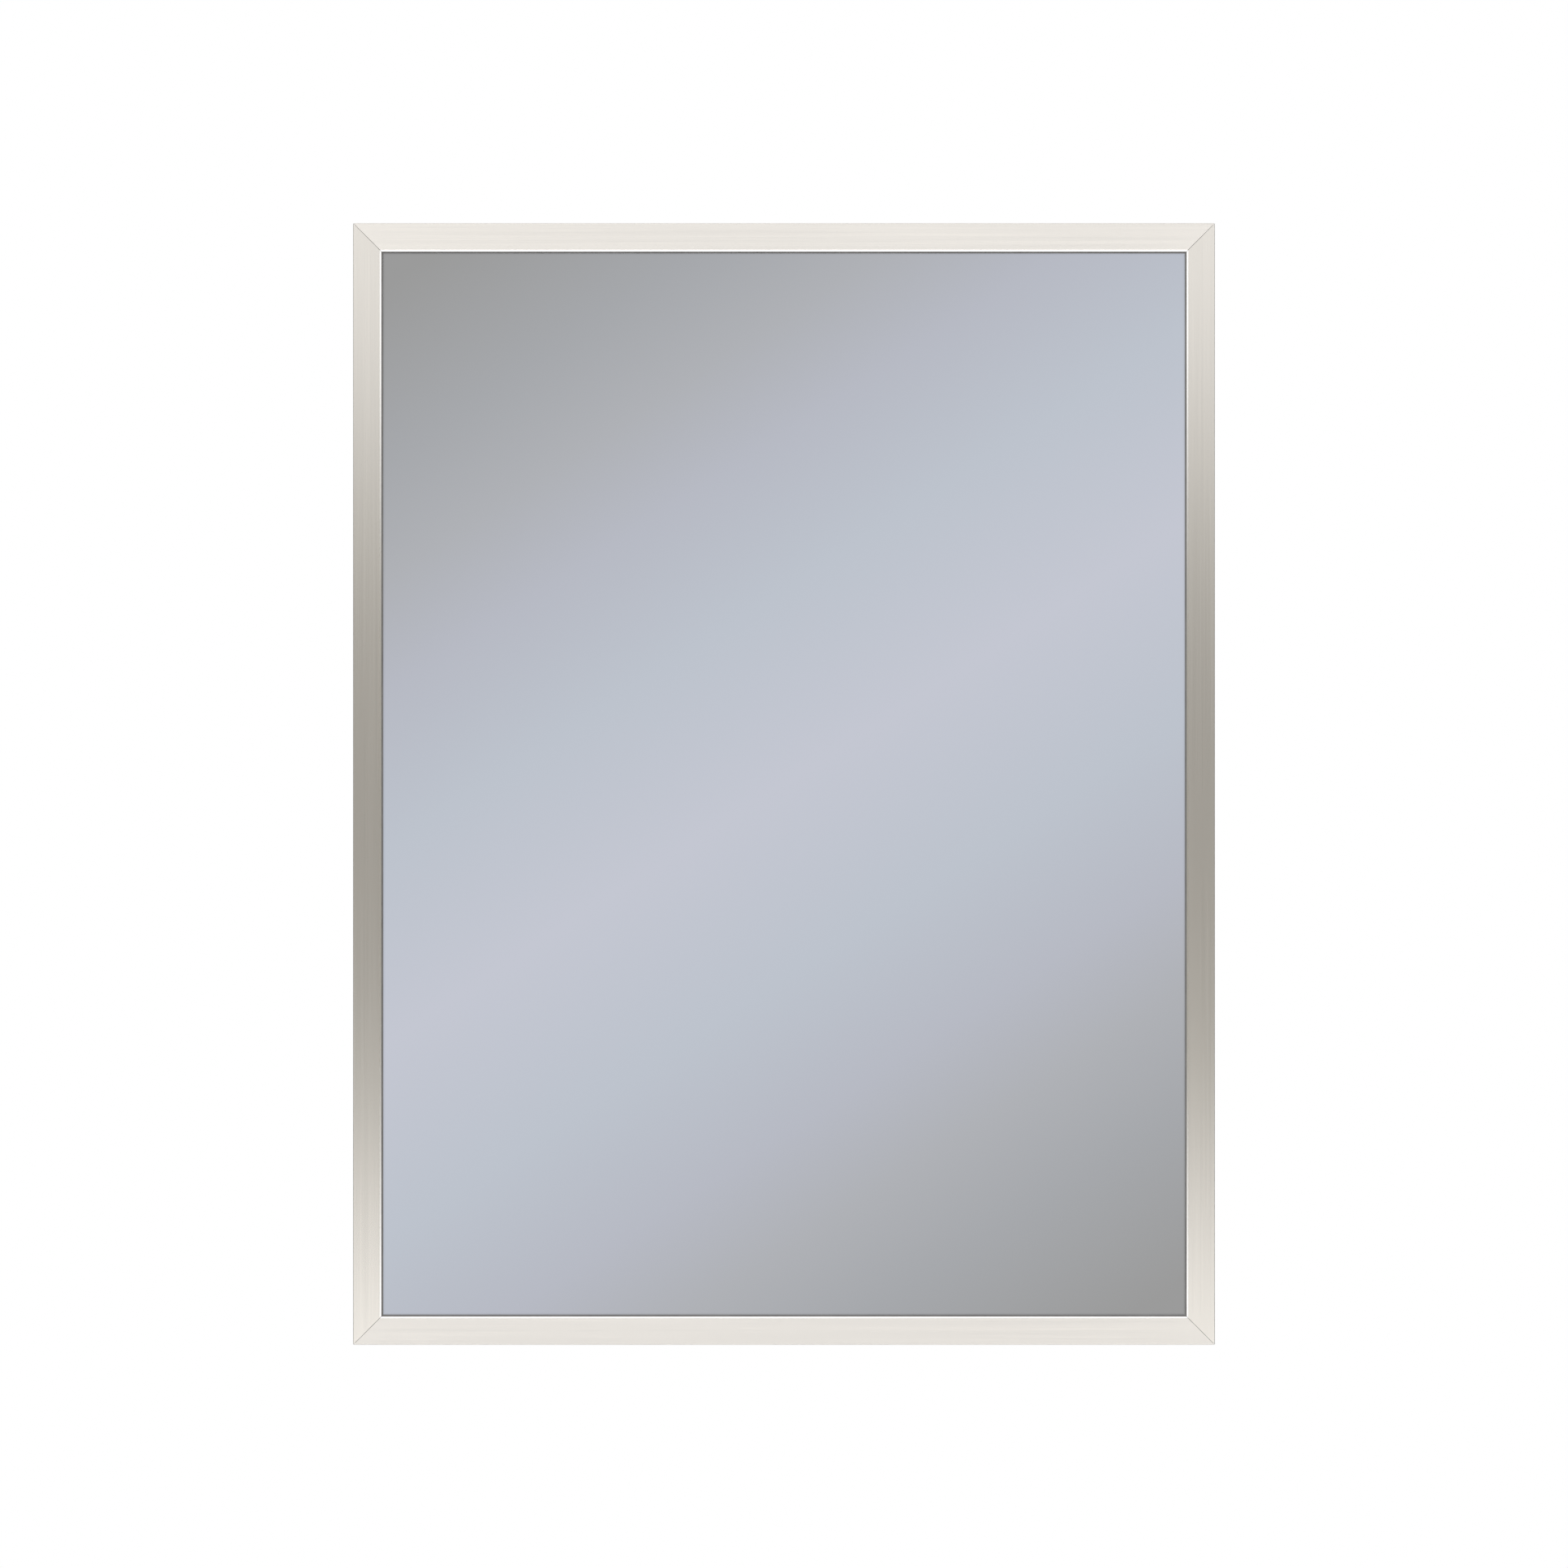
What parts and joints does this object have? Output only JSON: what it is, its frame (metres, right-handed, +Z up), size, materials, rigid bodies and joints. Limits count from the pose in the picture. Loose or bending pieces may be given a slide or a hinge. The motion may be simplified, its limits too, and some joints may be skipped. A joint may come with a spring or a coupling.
{
  "type": "medicine cabinet with mirror",
  "caption": "Shallow wall-hung cabinet whose mirrored door in a mitred metal frame swings on hidden hinges, with glass shelves and a mirrored back inside.",
  "frame": {"origin": "middle of the back panel's rear face, on the wall", "axes": "+X to the right of a person facing the door, +Y into the wall, +Z up"},
  "size_m": [0.587, 0.117, 0.764],
  "materials": {
    "brushed_nickel": "brushed satin nickel plate, grain along each bar",
    "silver_mirror": "silvered float glass with ground edges",
    "grey_seal": "matt, dark grey",
    "shelf_glass": "clear tempered glass, ground edges",
    "body_aluminium": "satin anodised",
    "back_sheet": "mill finish",
    "shelf_hardware": "satin anodised",
    "clear_pad": "translucent soft vinyl",
    "fibreboard": "pressed fibreboard",
    "corner_zinc": "zinc-plated steel",
    "hinge_nickel": "nickel-plated steel",
    "steel_pin": "ground steel",
    "fastener_zinc": "bright zinc plate",
    "catch_plastic": "moulded white plastic",
    "ferrite": "sintered ferrite"
  },
  "bodies": {
    "cabinet": {"back_board": "fibreboard", "back_mirror": "silver_mirror", "back_panel": "back_sheet", "back_rivets": "fastener_zinc", "body_corner_screws": "fastener_zinc", "bottom_panel": "body_aluminium", "catch_screws": "fastener_zinc", "hinge_adjusting_screws": "fastener_zinc", "hinge_base_screws": "fastener_zinc", "hinge_clamp_screws": "fastener_zinc", "left_front_shelf_standard": "shelf_hardware", "left_rear_shelf_standard": "shelf_hardware", "left_side_panel": "body_aluminium", "lower_catch_housing": "catch_plastic", "lower_catch_magnet": "ferrite", "lower_catch_pole_plates": "steel_pin", "lower_hinge_arm": "hinge_nickel", "lower_hinge_base": "hinge_nickel", "lower_mounting_rail": "body_aluminium", "lower_shelf_supports": "shelf_hardware", "middle_shelf_supports": "shelf_hardware", "right_front_shelf_standard": "shelf_hardware", "right_rear_shelf_standard": "shelf_hardware", "right_side_panel": "body_aluminium", "shelf_standard_screws": "fastener_zinc", "shelf_support_pads": "clear_pad", "top_panel": "body_aluminium", "upper_catch_housing": "catch_plastic", "upper_catch_magnet": "ferrite", "upper_catch_pole_plates": "steel_pin", "upper_hinge_arm": "hinge_nickel", "upper_hinge_base": "hinge_nickel", "upper_mounting_rail": "body_aluminium", "upper_shelf_supports": "shelf_hardware"},
    "door": {"corner_key_screws": "fastener_zinc", "door_bottom_rail": "brushed_nickel", "door_core": "fibreboard", "door_left_stile": "brushed_nickel", "door_mirror": "silver_mirror", "door_right_stile": "brushed_nickel", "door_top_rail": "brushed_nickel", "glass_seal": "grey_seal", "hinge_housing_screws": "fastener_zinc", "inner_mirror": "silver_mirror", "lower_door_bumper": "clear_pad", "lower_door_strike": "steel_pin", "lower_hinge_housing": "hinge_nickel", "lower_hinge_pin": "steel_pin", "lower_left_corner_key": "corner_zinc", "lower_right_corner_key": "corner_zinc", "upper_door_bumper": "clear_pad", "upper_door_strike": "steel_pin", "upper_hinge_housing": "hinge_nickel", "upper_hinge_pin": "steel_pin", "upper_left_corner_key": "corner_zinc", "upper_right_corner_key": "corner_zinc"},
    "lower_shelf": {"lower_shelf": "shelf_glass"},
    "middle_shelf": {"middle_shelf": "shelf_glass"},
    "upper_shelf": {"upper_shelf": "shelf_glass"}
  },
  "joints": [
    {"name": "door_hinge", "type": "hinge", "parent": "cabinet", "child": "door", "pos_m": [-0.2875, -0.104, 0], "axis": [0, 0, -1], "range_deg": [0, 105]},
    {"name": "lower_shelf_lift", "type": "slide", "parent": "cabinet", "child": "lower_shelf", "axis": [0, 0, 1], "range_m": [0, 0.03]},
    {"name": "middle_shelf_lift", "type": "slide", "parent": "cabinet", "child": "middle_shelf", "axis": [0, 0, 1], "range_m": [0, 0.03]},
    {"name": "upper_shelf_lift", "type": "slide", "parent": "cabinet", "child": "upper_shelf", "axis": [0, 0, 1], "range_m": [0, 0.03]}
  ]
}
